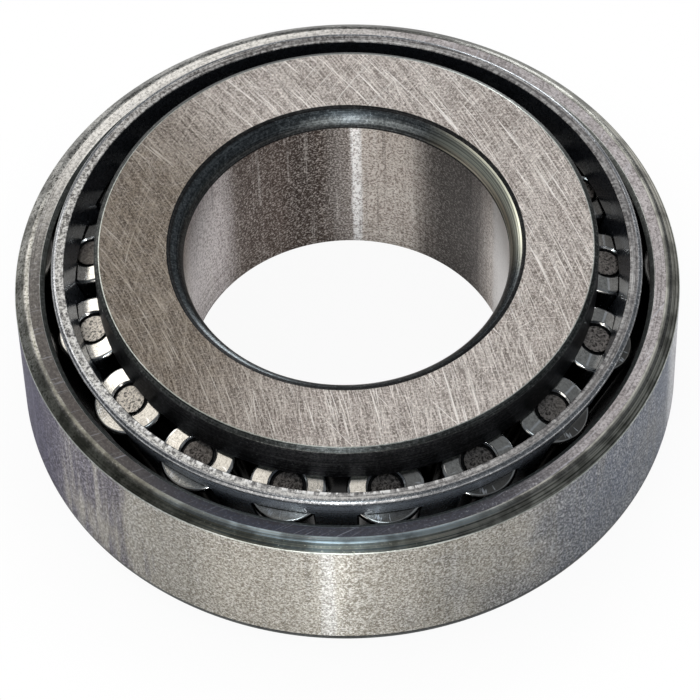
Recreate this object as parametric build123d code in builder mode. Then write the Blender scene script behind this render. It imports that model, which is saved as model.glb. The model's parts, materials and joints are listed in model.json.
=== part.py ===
from build123d import *
import math
import os

# A single-row tapered roller bearing, standing on the back face of its cup (outer ring).
# The origin is the centre of that face and +Z runs up the bearing axis, so the rollers'
# large ends, the cone's thrust rib and the cone's back face are at the top.

# Boundary sizes, in millimetres
bore_diameter = 33.338
outer_diameter = 68.262
assembled_width = 22.225        # cup back face to cone back face
cone_width = 22.225
cup_width = 17.463

# Raceways
cup_angle = 20.0                # half angle of the cup raceway, degrees
wall_ratio = 1.345              # cup's thinnest section against the cone's, at its raceway's start
relief_width = 0.8              # grinding reliefs in the corners of the cone raceway
relief_depth = 0.3

# Cone ribs and corners
rib_width = 3.97                # axial width of the thrust rib at its raceway corner
rib_height = 2.85               # thrust rib above the raceway corner
rib_chamfer_width = 0.5         # thrust rib's back corner, radial
rib_chamfer_height = 0.33       # the same, along the axis
rib_toe_chamfer = 0.35          # thrust rib's corner beside the rollers
small_rib_width = 3.1
small_rib_height = 1.0
small_rib_chamfer = 0.3
bore_corner_width = 1.65        # rounded bore corner at the back face, radial
bore_corner_height = 1.8        # the same, along the bore
bore_corner_radius = 2.1
cone_front_chamfer = 1.3

# Cup corners
cup_back_radius = 1.8
cup_front_chamfer_width = 1.1   # radial
cup_front_chamfer_height = 0.93 # along the axis
cup_mouth_chamfer = 0.36
cup_front_face = 0.3            # least flat left on the front face between the two chamfers
cup_back_bevel = 0.4

# Rollers
roller_count = 17
roller_share = 0.82             # share of the circle through their axes that the rollers fill
running_gap = 0.06              # roller to each raceway
rib_gap = 0.06                  # roller's large end to the thrust rib
end_play = 0.2                  # roller's small end to the small rib
roller_corner = 0.4
crown_share = 0.95              # radius of the ground large end, against the apex distance
recess_radius = 1.9             # forged recess in the middle of each end
recess_depth = 0.35
recess_draft = 0.15             # the recess's wall leans outward by this much
groove_width = 0.25             # groove round the recess floor
groove_depth = 0.2

# Cage
cage_thickness = 1.4
cage_bend_radius = 1.6          # outside of the bend between wall and flange
cage_edge = 0.25                # least flat left on the flange beyond that bend
cage_rise = 0.485               # cage wall outside the roller axes, against the roller radius
cage_rim = 3.58                 # solid ring beyond the rollers' large ends
flange_gap = 0.9                # cage flange to the small rib
flange_lap = 0.4                # flange clear of the rollers' small ends
pocket_side_gap = 0.15
pocket_end_gap = 0.2

# Everything below follows from the sizes above.
bore_radius = bore_diameter / 2
outer_radius = outer_diameter / 2
cone_front = assembled_width - cone_width

# The rollers fill their share of the circle, which sets their taper: at any distance from
# the apex, half a roller's pitch is that distance times sin(roller_tilt) times sin(pi / count).
filled = roller_share * math.sin(math.pi / roller_count)
taper_angle = math.degrees(math.atan2(filled * math.sin(math.radians(cup_angle)),
                                      1 + filled * math.cos(math.radians(cup_angle))))
roller_tilt = cup_angle - taper_angle
cone_angle = cup_angle - 2 * taper_angle
cup_slope = math.tan(math.radians(cup_angle))
cone_slope = math.tan(math.radians(cone_angle))

# Both raceways and the roller axes meet at one apex on the bearing axis, below the origin.
# It lies where the section that the rollers leave is shared between cup and cone.
raceway_start = cone_front + small_rib_width
raceway_end = assembled_width - rib_width
apex = ((cup_width * cup_slope + wall_ratio * raceway_start * cone_slope
         - outer_radius - wall_ratio * bore_radius) / (cup_slope + wall_ratio * cone_slope))
mouth_radius = (cup_width - apex) * cup_slope
raceway_start_radius = (raceway_start - apex) * cone_slope
raceway_end_radius = (raceway_end - apex) * cone_slope

# Distances from the apex along a roller's axis
rib_distance = math.hypot(raceway_end_radius, raceway_end - apex) * math.cos(math.radians(taper_angle))
small_rib_distance = (math.hypot(raceway_start_radius, raceway_start - apex)
                      * math.cos(math.radians(taper_angle)))
large_end = rib_distance - rib_gap
small_end = small_rib_distance + end_play
gap_offset = running_gap / math.cos(math.radians(taper_angle))


def roller_radius(distance):
    """Roller radius at a distance from the apex along its axis."""
    return distance * math.tan(math.radians(taper_angle)) - gap_offset


# Cone ribs, whose faces are square to the roller axes
rib_slope = math.tan(math.radians(roller_tilt))
rib_radius = raceway_end_radius + rib_height
toe_height = raceway_end - (rib_height - rib_toe_chamfer) * rib_slope
small_rib_radius = raceway_start_radius + small_rib_height

# The cage wall is a cone shell on the same apex, a little outside the roller axes.
cage_lean = cage_rise * roller_radius(large_end) / large_end
cage_angle = roller_tilt + math.degrees(math.atan(cage_lean))
cage_top = apex + (large_end + cage_rim) * math.cos(math.radians(cage_angle))
flange_radius = small_rib_radius + flange_gap
flange_top = small_end - flange_lap
flange_bottom = flange_top - cage_thickness


def cup_raceway(height):
    """Radius of the cup raceway at a height."""
    return (height - apex) * cup_slope


def cage_wall(height, side):
    """Radius of the cage wall at a height, on its inner (-1) or outer (1) side."""
    lean = math.radians(cage_angle)
    return (height - apex) * math.tan(lean) + side * cage_thickness / 2 / math.cos(lean)


def section_point(distance, offset):
    """Radius and height of the point at a distance from the apex along a roller's axis,
    then offset square to that axis, away from the bearing axis."""
    lean = math.radians(roller_tilt)
    return (distance * math.sin(lean) + offset * math.cos(lean),
            apex + distance * math.cos(lean) - offset * math.sin(lean))


def flange_height(distance):
    """Height, at the flange's inner edge, of the flange face at a distance along the rollers."""
    axis_radius, axis_height = section_point(distance, 0)
    return axis_height + (axis_radius - flange_radius) * rib_slope


def roller_plane(index):
    """Plane through a roller's axis and the bearing axis: X square to the roller's axis,
    Y up along it, with its origin at the apex."""
    turn = 2 * math.pi * index / roller_count
    lean = math.radians(roller_tilt)
    across = Vector(math.cos(lean) * math.cos(turn), math.cos(lean) * math.sin(turn), -math.sin(lean))
    upward = Vector(math.sin(lean) * math.cos(turn), math.sin(lean) * math.sin(turn), math.cos(lean))
    return Plane(origin=(0, 0, apex), x_dir=across, z_dir=across.cross(upward))


def roller_axis(plane):
    """The roller's own axis in its plane."""
    return Axis(plane.origin, plane.y_dir)


def finish(part, name):
    """Label a finished piece and write its STEP file."""
    part.label = name
    export_step(part, f"parts/{name}.step")


os.makedirs("parts", exist_ok=True)

# Cup: the outer ring, with the outer raceway in its bore. Its front chamfer takes at most
# what the mouth leaves of its thinnest section.
front_chamfer = min(cup_front_chamfer_width,
                    outer_radius - mouth_radius - cup_mouth_chamfer - cup_front_face)
with BuildPart() as cup:
    with BuildSketch(Plane.XZ):
        with BuildLine():
            Polyline(
                (outer_radius, 0),
                (outer_radius, cup_width - cup_front_chamfer_height),
                (outer_radius - front_chamfer, cup_width),
                (mouth_radius + cup_mouth_chamfer, cup_width),
                (cup_raceway(cup_width - cup_mouth_chamfer), cup_width - cup_mouth_chamfer),
                (cup_raceway(cup_back_bevel), cup_back_bevel),
                (cup_raceway(0) + cup_back_bevel, 0),
                close=True,
            )
        make_face()
        fillet(vertices().group_by(Axis.X)[-1].sort_by(Axis.Y)[0], cup_back_radius)
    revolve(axis=Axis.Z)
finish(cup.part, "cup")

# Cone: the inner ring, with the inner raceway between its two ribs.
foot = Vector(raceway_start_radius, raceway_start)
corner = Vector(raceway_end_radius, raceway_end)
up_raceway = (corner - foot).normalized()
across_roller = Vector(1, -rib_slope).normalized()
relief_foot = [foot + across_roller * (relief_width / 2),
               foot - (across_roller + up_raceway) * (relief_depth / 2),
               foot + up_raceway * relief_width]
relief_corner = [corner - up_raceway * relief_width,
                 corner + (up_raceway - across_roller) * (relief_depth / 2),
                 corner + across_roller * (relief_width / 2)]
bore_edge = (bore_radius, assembled_width - bore_corner_height)
back_edge = (bore_radius + bore_corner_width, assembled_width)
with BuildPart() as cone:
    with BuildSketch(Plane.XZ):
        with BuildLine():
            Polyline(
                bore_edge,
                (bore_radius, cone_front + cone_front_chamfer),
                (bore_radius + cone_front_chamfer, cone_front),
                (small_rib_radius - small_rib_chamfer, cone_front),
                (small_rib_radius, cone_front + small_rib_chamfer),
                (small_rib_radius, raceway_start - small_rib_height * rib_slope),
                relief_foot[0],
            )
            ThreePointArc(*relief_foot)
            Line(relief_foot[-1], relief_corner[0])
            ThreePointArc(*relief_corner)
            Polyline(
                relief_corner[-1],
                (rib_radius - rib_toe_chamfer, toe_height),
                (rib_radius, toe_height + rib_toe_chamfer),
                (rib_radius, assembled_width - rib_chamfer_height),
                (rib_radius - rib_chamfer_width, assembled_width),
                back_edge,
            )
            RadiusArc(back_edge, bore_edge, -bore_corner_radius)
        make_face()
    revolve(axis=Axis.Z)
finish(cone.part, "cone")

# Cage: a pressed cone shell, flanged inward at the small end, with a pocket for each roller.
# The bend between wall and flange takes at most the flange's own length.
flange_root = section_point(flange_bottom, flange_bottom * cage_lean + cage_thickness / 2)
flange_edge = (flange_radius, flange_height(flange_bottom))
bend_radius = min(cage_bend_radius, math.dist(flange_root, flange_edge) - cage_edge)
with BuildPart() as cage:
    with BuildSketch(Plane.XZ):
        with BuildLine():
            Polyline(
                (cage_wall(cage_top, 1), cage_top),
                (cage_wall(cage_top, -1), cage_top),
                section_point(flange_top, flange_top * cage_lean - cage_thickness / 2),
                (flange_radius, flange_height(flange_top)),
                flange_edge,
                flange_root,
                close=True,
            )
        make_face()
        fillet(vertices().sort_by(Axis.Y)[0], bend_radius)
    revolve(axis=Axis.Z)
    pocket_start = small_end - pocket_end_gap
    pocket_end = large_end + pocket_end_gap
    for index in range(roller_count):
        plane = roller_plane(index)
        with BuildSketch(plane):
            Polygon(
                (0, pocket_start),
                (roller_radius(pocket_start) + pocket_side_gap, pocket_start),
                (roller_radius(pocket_end) + pocket_side_gap, pocket_end),
                (0, pocket_end),
                align=None,
            )
        revolve(axis=roller_axis(plane), mode=Mode.SUBTRACT)
finish(cage.part, "cage")

# Rollers: tapered, with a forged recess in each end and the large end ground to a sphere.
crown_radius = crown_share * large_end
crown_drop = crown_radius - math.sqrt(crown_radius**2 - roller_radius(large_end)**2)
lip_drop = crown_radius - math.sqrt(crown_radius**2 - recess_radius**2)
floor_radius = recess_radius - recess_draft
for index in range(roller_count):
    plane = roller_plane(index)
    with BuildPart() as roller:
        with BuildSketch(plane):
            with BuildLine():
                outer_edge = (roller_radius(large_end - crown_drop), large_end - crown_drop)
                lip = (recess_radius, large_end - lip_drop)
                Polyline(
                    lip,
                    (floor_radius, large_end - recess_depth - groove_depth),
                    (floor_radius - groove_width, large_end - recess_depth - groove_depth),
                    (floor_radius - groove_width, large_end - recess_depth),
                    (0, large_end - recess_depth),
                    (0, small_end + recess_depth),
                    (floor_radius, small_end + recess_depth),
                    (recess_radius, small_end),
                    (roller_radius(small_end), small_end),
                    outer_edge,
                )
                RadiusArc(outer_edge, lip, -crown_radius)
            make_face()
            fillet(vertices().sort_by(Axis.X)[-2:], roller_corner)
        revolve(axis=roller_axis(plane))
    finish(roller.part, f"roller_{index + 1:02d}")
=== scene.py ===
# A single-row tapered roller bearing on a pale floor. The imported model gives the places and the
# moving bodies; the rings, the cage and the rollers are turned again here as fine surfaces.
import json
import math

import bpy
import numpy as np
from mathutils import Matrix, Vector


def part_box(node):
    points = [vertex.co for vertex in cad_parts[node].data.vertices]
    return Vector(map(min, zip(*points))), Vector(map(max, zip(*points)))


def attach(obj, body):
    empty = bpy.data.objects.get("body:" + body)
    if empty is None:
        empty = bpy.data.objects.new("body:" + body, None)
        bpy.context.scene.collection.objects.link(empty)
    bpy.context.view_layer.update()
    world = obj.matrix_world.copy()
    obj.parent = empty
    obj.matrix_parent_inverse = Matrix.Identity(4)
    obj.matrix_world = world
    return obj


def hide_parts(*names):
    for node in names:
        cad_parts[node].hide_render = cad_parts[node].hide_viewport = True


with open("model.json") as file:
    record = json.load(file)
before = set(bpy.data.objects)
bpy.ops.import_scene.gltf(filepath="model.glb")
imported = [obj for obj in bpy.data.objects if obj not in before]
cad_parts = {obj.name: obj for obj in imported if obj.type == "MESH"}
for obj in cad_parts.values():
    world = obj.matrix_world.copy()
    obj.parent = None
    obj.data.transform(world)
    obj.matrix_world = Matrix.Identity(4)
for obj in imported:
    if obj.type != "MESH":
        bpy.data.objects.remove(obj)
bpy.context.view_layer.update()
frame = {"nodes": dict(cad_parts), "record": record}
print("frame loaded")

perMetre = 1000.0       # millimetres in a metre
millimetre = 0.001      # in metres

# Sizes in millimetres, and the cones that rings, cage and rollers share.
mounts = {m["name"]: m for m in frame["record"]["mounts"]}
rollerNames = sorted(n for n in frame["nodes"] if n.startswith("roller_"))
bearing = dict(
    outerRadius=mounts["outer_seat"]["dims"]["r_mm"],
    boreRadius=mounts["bore"]["dims"]["r_mm"],
    topHeight=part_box("cone")[1].z * perMetre,
    cupHeight=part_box("cup")[1].z * perMetre,
    cupAngle=math.radians(20),
    rollerCount=len(rollerNames),
    rollerShare=0.82,        # of the circle through the roller axes
    wallRatio=1.345,         # thinnest section of the cup against the cone's
    ribWidth=3.97,
    smallRibWidth=3.1,
    runningGap=0.06,         # roller to each raceway
    ribGap=0.06,             # large end to the thrust rib
    endPlay=0.2,             # small end to the small rib
)


# The shared apex: the rollers' share of their circle gives the taper, and the walls left beside
# them give the height at which both raceways and all roller axes meet.
def sharedCones(b):
    filled = b["rollerShare"] * math.sin(math.pi / b["rollerCount"])
    taper = math.atan2(filled * math.sin(b["cupAngle"]), 1 + filled * math.cos(b["cupAngle"]))
    cupSlope, coneSlope = math.tan(b["cupAngle"]), math.tan(b["cupAngle"] - 2 * taper)
    apex = ((b["cupHeight"] * cupSlope + b["wallRatio"] * b["smallRibWidth"] * coneSlope
             - b["outerRadius"] - b["wallRatio"] * b["boreRadius"])
            / (cupSlope + b["wallRatio"] * coneSlope))
    tilt = b["cupAngle"] - taper
    footHeight, cornerHeight = b["smallRibWidth"], b["topHeight"] - b["ribWidth"]
    footRadius, cornerRadius = (footHeight - apex) * coneSlope, (cornerHeight - apex) * coneSlope
    return dict(
        taper=taper, tilt=tilt, apex=apex, cupSlope=cupSlope,
        footHeight=footHeight, cornerHeight=cornerHeight,
        footRadius=footRadius, cornerRadius=cornerRadius,
        largeEnd=math.hypot(cornerRadius, cornerHeight - apex) * math.cos(taper) - b["ribGap"],
        smallEnd=math.hypot(footRadius, footHeight - apex) * math.cos(taper) + b["endPlay"],
        gapOffset=b["runningGap"] / math.cos(taper),
    )


cones = sharedCones(bearing)


# Radius and height of a point at a distance from the apex along a roller's axis, moved square to it.
def sectionPoint(distance, offset):
    s, c = math.sin(cones["tilt"]), math.cos(cones["tilt"])
    return distance * s + offset * c, cones["apex"] + distance * c - offset * s


# Roller radius at a distance from the apex: the distance times the tangent of its taper, less the gap.
def rollerRadius(distance):
    return distance * math.tan(cones["taper"]) - cones["gapOffset"]


# How finely outlines are drawn: steps in a quarter arc and the least share of them, the distance
# between points along a run, and from a run's ends to the points that keep its shading flat.
drawn = dict(arcSteps=5, quarterTurn=1.57, leastShare=0.4, runSpacing=2.5, support=0.03)


# The point at p from a centre, turned about it by each angle of t.
def turnedPoints(centre, p, t):
    return centre + np.stack([p[0] * np.cos(t) - p[1] * np.sin(t), p[0] * np.sin(t) + p[1] * np.cos(t)], 1)


# An outline from corners (x, y, rounding, finish after it, finish of the rounding): an arc tangent to
# both runs takes each corner's place, and a point close to each end keeps the runs' shading flat.
def roundedOutline(corners, closed=True, support=drawn["support"]):
    count = len(corners)
    xy = np.array([c[:2] for c in corners], float)
    starts, ends, arcs = [], [], []
    for i in range(count):
        rounding = corners[i][2]
        if rounding <= 0 or (not closed and i in (0, count - 1)):
            starts.append(xy[i]), ends.append(xy[i]), arcs.append([xy[i]])
            continue
        a = xy[i - 1] - xy[i]
        b = xy[(i + 1) % count] - xy[i]
        a, b = a / np.hypot(*a), b / np.hypot(*b)
        half = math.acos(np.clip(a @ b, -1, 1)) / 2
        reach = rounding / math.tan(half)
        centre = xy[i] + (a + b) / np.hypot(*(a + b)) * rounding / math.sin(half)
        p, q = xy[i] + a * reach - centre, xy[i] + b * reach - centre
        turn = math.atan2(p[0] * q[1] - p[1] * q[0], p @ q)
        share = max(abs(turn) / drawn["quarterTurn"], drawn["leastShare"])
        t = np.linspace(0, turn, max(2, round(drawn["arcSteps"] * share) + 1))
        arc = turnedPoints(centre, p, t)
        starts.append(arc[0]), ends.append(arc[-1]), arcs.append(list(arc))
    points, finishes = [], []
    for i in range(count):
        after = corners[i][3]
        ofArc = corners[i][4] if len(corners[i]) > 4 else after
        points += arcs[i]
        finishes += [ofArc] * (len(arcs[i]) - 1)
        if not closed and i == count - 1:
            break
        run = starts[(i + 1) % count] - ends[i]
        length = np.hypot(*run)
        if length > 4 * support:
            inner = [support / length, 1 - support / length]
            middle = list(np.linspace(*inner, max(2, int(length / drawn["runSpacing"]) + 2)))
            points += [ends[i] + run * t for t in middle]
            finishes += [after] * len(middle)
        finishes.append(after)
    return np.array(points), finishes


# Points along the arc of one radius from a to b, without its ends.
def arcBetween(a, b, radius, steps):
    a, b = np.array(a, float), np.array(b, float)
    chord = b - a
    length = np.hypot(*chord)
    square = np.array([-chord[1], chord[0]]) / length
    centre = (a + b) / 2 + square * math.sqrt(radius**2 - length**2 / 4)
    p, q = a - centre, b - centre
    t = np.linspace(0, math.atan2(p[0] * q[1] - p[1] * q[0], p @ q), steps + 1)[1:-1]
    return turnedPoints(centre, p, t)


# A mesh from whole arrays: points in millimetres, faces of four or three corners, finish per face.
# Six times the enclosed volume is the sum of each face's triple products, and its sign sets the winding.
def meshFrom(name, points, quads, tris, finishes, materials):
    tris = np.zeros((0, 3), int) if tris is None else tris
    triangles = np.concatenate([quads[:, [0, 1, 2]], quads[:, [0, 2, 3]], tris])
    a, b, c = (points[triangles[:, k]] for k in range(3))
    if (a * np.cross(b, c)).sum() < 0:
        quads, tris = quads[:, ::-1], tris[:, ::-1]
    mesh = bpy.data.meshes.new(name)
    corners = np.concatenate([quads.ravel(), tris.ravel()]).astype(np.int32)
    starts = np.concatenate([np.arange(len(quads)) * 4, len(quads) * 4 + np.arange(len(tris)) * 3])
    mesh.vertices.add(len(points))
    mesh.vertices.foreach_set("co", (points * millimetre).astype(np.float32).ravel())
    mesh.loops.add(len(corners))
    mesh.loops.foreach_set("vertex_index", corners)
    mesh.polygons.add(len(starts))
    mesh.polygons.foreach_set("loop_start", starts.astype(np.int32))
    used = sorted(set(finishes))
    mesh.polygons.foreach_set("material_index", np.array([used.index(f) for f in finishes], np.int32))
    mesh.update(calc_edges=True)
    mesh.polygons.foreach_set("use_smooth", np.ones(len(starts), bool))
    for finish in used:
        mesh.materials.append(materials[finish])
    piece = bpy.data.objects.new(name, mesh)
    bpy.context.scene.collection.objects.link(piece)
    return piece


# A ring: the closed outline turned about Z, so a point is (x cos t, x sin t, y).
def turnedRing(name, outline, finishes, steps, materials):
    rows, t = len(outline), np.arange(steps) * 2 * math.pi / steps
    points = np.stack([outline[:, :1] * np.cos(t), outline[:, :1] * np.sin(t),
                       np.repeat(outline[:, 1:], steps, 1)], 2).reshape(-1, 3)
    i, j = np.meshgrid(np.arange(rows), np.arange(steps), indexing="ij")
    k, m = (i + 1) % rows, (j + 1) % steps
    quads = np.stack([i * steps + j, i * steps + m, k * steps + m, k * steps + j], 2).reshape(-1, 4)
    return meshFrom(name, points, quads, None, list(np.repeat(finishes, steps)), materials)


# A value between nodes: arithmetic on it adds Math nodes.
class Value:
    def __init__(self, finish, socket):
        self.finish, self.socket = finish, socket

    def math(self, operation, *others):
        inputs = {0: self, **{k + 1: other for k, other in enumerate(others)}}
        return self.finish.node("ShaderNodeMath", {"operation": operation}, inputs)

    def __add__(self, other):
        return self.math("ADD", other)

    __radd__ = __add__

    def __sub__(self, other):
        return self.math("SUBTRACT", other)

    def __rsub__(self, other):
        return (self * -1) + other

    def __mul__(self, other):
        return self.math("MULTIPLY", other)

    __rmul__ = __mul__

    def __truediv__(self, other):
        return self.math("DIVIDE", other)

    def __pow__(self, other):
        return self.math("POWER", other)

    def capped(self):
        return self.math("MINIMUM", 1.0)

    # 0 below low, 1 above high, smooth between
    def step(self, low, high):
        return self.finish.node("ShaderNodeMapRange", {"interpolation_type": "SMOOTHSTEP"},
                                {0: self, 1: low, 2: high, 3: 0.0, 4: 1.0})


# The distance from the axis is the root of x squared and y squared.
def fromAxis(x, y):
    return (x * x + y * y) ** 0.5


# The nodes of one material. node() makes any of them: its type, its settings, then the values or links
# of its sockets, and the rest are short forms of it.
class Nodes:
    def __init__(self, name):
        self.material = bpy.data.materials.new(name)
        self.material.use_nodes = True
        self.tree = self.material.node_tree

    def node(self, kind, settings, inputs, out=0):
        made = self.tree.nodes.new(kind)
        for key, value in settings.items():
            setattr(made, key, value)
        for key, value in inputs.items():
            if isinstance(value, Value):
                self.tree.links.new(value.socket, made.inputs[key])
            else:
                made.inputs[key].default_value = value
        return None if out is None else Value(self, made.outputs[out])

    # the spot on the piece, in millimetres
    def place(self):
        spot = self.node("ShaderNodeTexCoord", {}, {}, out="Object")
        return self.node("ShaderNodeVectorMath", {"operation": "SCALE"}, {0: spot, "Scale": perMetre})

    def parts(self, vector):
        made = self.node("ShaderNodeSeparateXYZ", {}, {0: vector})
        return [Value(self, s) for s in made.socket.node.outputs]

    def vector(self, x, y, z):
        return self.node("ShaderNodeCombineXYZ", {}, {0: x, 1: y, 2: z})

    def noise(self, vector, scale, detail, rough):
        return self.node("ShaderNodeTexNoise", {},
                         {"Vector": vector, "Scale": scale, "Detail": detail, "Roughness": rough})

    def mix(self, factor, a, b, how="MIX"):
        return self.node("ShaderNodeMix", {"data_type": "RGBA", "blend_type": how},
                         {0: factor, 6: a, 7: b}, out=2)

    def attribute(self, name):
        return self.node("ShaderNodeAttribute", {"attribute_name": name}, {}, out=1)

    # distance in millimetres
    def bump(self, height, strength, distance):
        return self.node("ShaderNodeBump", {},
                         {"Height": height, "Strength": strength, "Distance": distance * millimetre})


# One finish: its Principled shader takes the fixed numbers here and its patterns by links.
class Finish(Nodes):
    def __init__(self, name, **fixed):
        super().__init__(name)
        self.shader = self.tree.nodes["Principled BSDF"]
        for key, value in fixed.items():
            self.shader.inputs[key.replace("_", " ")].default_value = value
        self.spot = self.place()

    # 1 where the surface lies towards an azimuth as seen from the axis, -1 where it lies away from it;
    # 0 degrees is the front (-Y) and 90 the right (+X)
    def towards(self, azimuth):
        x, y = self.parts(self.spot)[:2]
        a = math.radians(azimuth)
        return (x * math.sin(a) - y * math.cos(a)) / fromAxis(x, y)

    def feed(self, **links):
        for key, value in links.items():
            self.tree.links.new(value.socket, self.shader.inputs[key.replace("_", " ")])


# A grey a little towards yellow.
def warmGrey(level, warmth=0.02):
    return (level * (1 + warmth), level, level * (1 - warmth), 1)


# A colour lighter or darker by a factor.
def shaded(colour, factor):
    return [min(c * factor, 1) for c in colour[:3]] + [1]


# Arcs left by a grinding wheel: distance and angle from a far centre, noise stretched along the arc, and
# only its peaks kept.
def grindingArcs(f, centre, across, along, low, high):
    away = f.node("ShaderNodeVectorMath", {"operation": "SUBTRACT"}, {0: f.spot, 1: (*centre, 0)})
    x, y = f.parts(away)[:2]
    angle = y.math("ARCTAN2", x)
    family = centre[0] * 0.37        # sets one family's pattern apart from another's
    arcs = f.noise(f.vector(fromAxis(x, y) * across, angle * along, family), 1.0, 2.0, 0.6)
    return arcs.step(low, high)


# Ground face: families of pale, dark and bold scratches cross on a cloudy, grainy grey; painted shade
# makes it browner and darker towards the left.
def groundFace():
    f = Finish("groundFace", Metallic=1.0)
    cloud = f.noise(f.spot, 0.11, 3.0, 0.6)
    grain = f.noise(f.spot, 4.0, 4.0, 0.8)
    haze = f.noise(f.spot, 0.8, 4.0, 0.7)
    fine = (grindingArcs(f, (-130, -50), 6.6, 26.0, 0.48, 0.64)
            + grindingArcs(f, (-96, -30), 5.4, 22.0, 0.51, 0.66)
            + grindingArcs(f, (64, -24), 7.0, 15.0, 0.53, 0.68)
            + grindingArcs(f, (24, 96), 7.0, 22.0, 0.57, 0.72)) * 0.42
    dark = (grindingArcs(f, (-140, -62), 4.8, 26.0, 0.51, 0.64) * 0.9
            + grindingArcs(f, (-90, -44), 5.6, 20.0, 0.53, 0.66) * 0.7
            + grindingArcs(f, (76, 12), 5.6, 18.0, 0.53, 0.67) * 0.7)
    bold = (grindingArcs(f, (-74, -34), 5.0, 9.0, 0.6, 0.7)
            + grindingArcs(f, (52, -16), 4.4, 5.0, 0.66, 0.74)
            + grindingArcs(f, (86, 40), 4.2, 7.0, 0.68, 0.75)
            + grindingArcs(f, (-40, 75), 4.2, 7.0, 0.69, 0.76))
    tone = f.mix(cloud.step(0.35, 0.65), (0.4, 0.36, 0.335, 1), (0.52, 0.48, 0.455, 1))
    tone = f.mix(haze.step(0.56, 0.38) * 0.55, tone, (0.16, 0.14, 0.125, 1))
    tone = f.mix(dark.capped() * 0.62, tone, (0.13, 0.11, 0.095, 1))
    tone = f.mix(grain.step(0.52, 0.38) * 0.8, tone, (0.1, 0.085, 0.075, 1))
    tone = f.mix(fine.capped() * 0.66, tone, (0.93, 0.89, 0.84, 1))
    tone = f.mix(grain.step(0.52, 0.63) * 0.62, tone, (0.97, 0.93, 0.88, 1))
    tone = f.mix(bold.capped() * 0.7, tone, (0.98, 0.96, 0.93, 1))
    # painted shade: browner and darker towards the left
    shade = f.towards(-84).step(0.15, 0.96) * (0.45 + haze)
    tone = f.mix(shade.capped() * 0.9, tone, (0.36, 0.33, 0.28, 1), "MULTIPLY")
    tone = f.mix(1.0, tone, (0.94, 0.91, 0.895, 1), "MULTIPLY")
    normal = f.bump(grain * 0.6 + fine * 0.6 + bold - dark * 0.5, 0.5, 0.02)
    f.feed(Base_Color=tone, Roughness=0.28 + grain * 0.18 + cloud * 0.05, Normal=normal)
    return f.material


# Ground cylinder: its lines run round it, so highlights stretch along the axis. Painted reflections make
# the right side cooler and darker and the left violet; painted shade darkens the left edge, painted
# highlights lighten the right edge and draw one thin bright line along the axis, and faint bands stand
# along it.
def groundSeat(name, tint, dark, rough, contrast):
    f = Finish(name, Metallic=1.0, Anisotropic=1.0, Anisotropic_Rotation=0.25)
    x, y, z = f.parts(f.spot)
    streak = f.noise(f.vector(x * 0.09, y * 0.09, z * 5.0), 1.0, 3.0, 0.6)
    upright = f.noise(f.vector(x * 0.9, y * 0.9, z * 0.05), 1.0, 3.0, 0.7)
    grain = f.noise(f.spot, 4.0, 4.0, 0.8)
    cloud = f.noise(f.spot, 0.1, 3.0, 0.6)
    # painted reflection: cooler and darker towards the right
    paintedCoolReflection = (f.towards(76) + (cloud - 0.5) * 0.9).step(0.42, 0.94)
    # painted reflection: violet towards the left
    paintedVioletReflection = (f.towards(-80) + (upright - 0.5) * 0.5 + (cloud - 0.5) * 0.4).step(0.74, 0.97)
    tone = f.mix(paintedCoolReflection * 0.94, tint, (0.13, 0.175, 0.28, 1))
    tone = f.mix(paintedVioletReflection * 0.88, tone, (0.1, 0.093, 0.17, 1))
    tone = f.mix(cloud.step(0.42, 0.66) * 0.3, tone, shaded(tint, 0.66))
    tone = f.mix(upright.step(0.5, 0.66) * 0.35, tone, shaded(tint, 0.5))
    tone = f.mix(upright.step(0.42, 0.32) * 0.3, tone, warmGrey(0.93))
    # painted highlights at the right edge and in one thin line along the axis, painted shade at the left
    # edge
    paintedRightHighlight = f.towards(86).step(0.955, 0.98)
    paintedHighlightLine = (f.towards(-6.5) + (upright - 0.5) * 0.0006).step(0.9996, 0.99997)
    paintedLeftEdgeShade = f.towards(-84).step(0.9, 0.99)
    tone = f.mix(paintedRightHighlight, tone, (0.95, 0.96, 1, 1))
    tone = f.mix(paintedHighlightLine * 0.45, tone, (1, 1, 1, 1))
    tone = f.mix(streak.step(0.52, 0.68) * 0.25, tone, warmGrey(0.85))
    tone = f.mix(grain.step(0.56, 0.41) * contrast, tone, shaded(dark, 3), "MULTIPLY")
    tone = f.mix(grain.step(0.5, 0.61) * contrast * 0.72, tone, warmGrey(0.97))
    tone = f.mix(paintedVioletReflection * 0.85, tone, (0.78, 0.76, 0.88, 1), "MULTIPLY")
    tone = f.mix(paintedLeftEdgeShade, tone, (0.46, 0.45, 0.58, 1), "MULTIPLY")
    normal = f.bump(streak + grain * 0.8, 0.35, 0.012)
    f.feed(Base_Color=tone, Roughness=rough + grain * 0.08, Normal=normal)
    return f.material


# Painted reflections along the bore, as bands: azimuth, how far they drift, where they fade in and are
# full, strength, colour.
boreBands = dict(
    brownOil=(205, 1.0, 0.78, 0.99, 0.96, (0.13, 0.095, 0.08, 1)),
    darkOil=(190, 0.3, 0.975, 0.998, 0.6, (0.04, 0.03, 0.026, 1)),
    beige=(160.7, 0.5, 0.9, 0.995, 0.35, (0.56, 0.5, 0.43, 1)),
    paleLeft=(242, 0.5, 0.93, 0.99, 0.9, (0.9, 0.84, 0.85, 1)),
    greyEdge=(178.9, 0.03, 0.993, 0.9994, 0.72, (0.24, 0.22, 0.21, 1)),
    brightLine=(173.6, 0.01, 0.9992, 0.99995, 0.95, (1, 1, 1, 1)),
    blackOil=(134.0, 0.25, 0.925, 0.997, 0.92, (0.022, 0.018, 0.016, 1)),
    paleRight=(101, 0.2, 0.975, 0.997, 0.8, (0.95, 0.93, 0.92, 1)),
)
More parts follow.
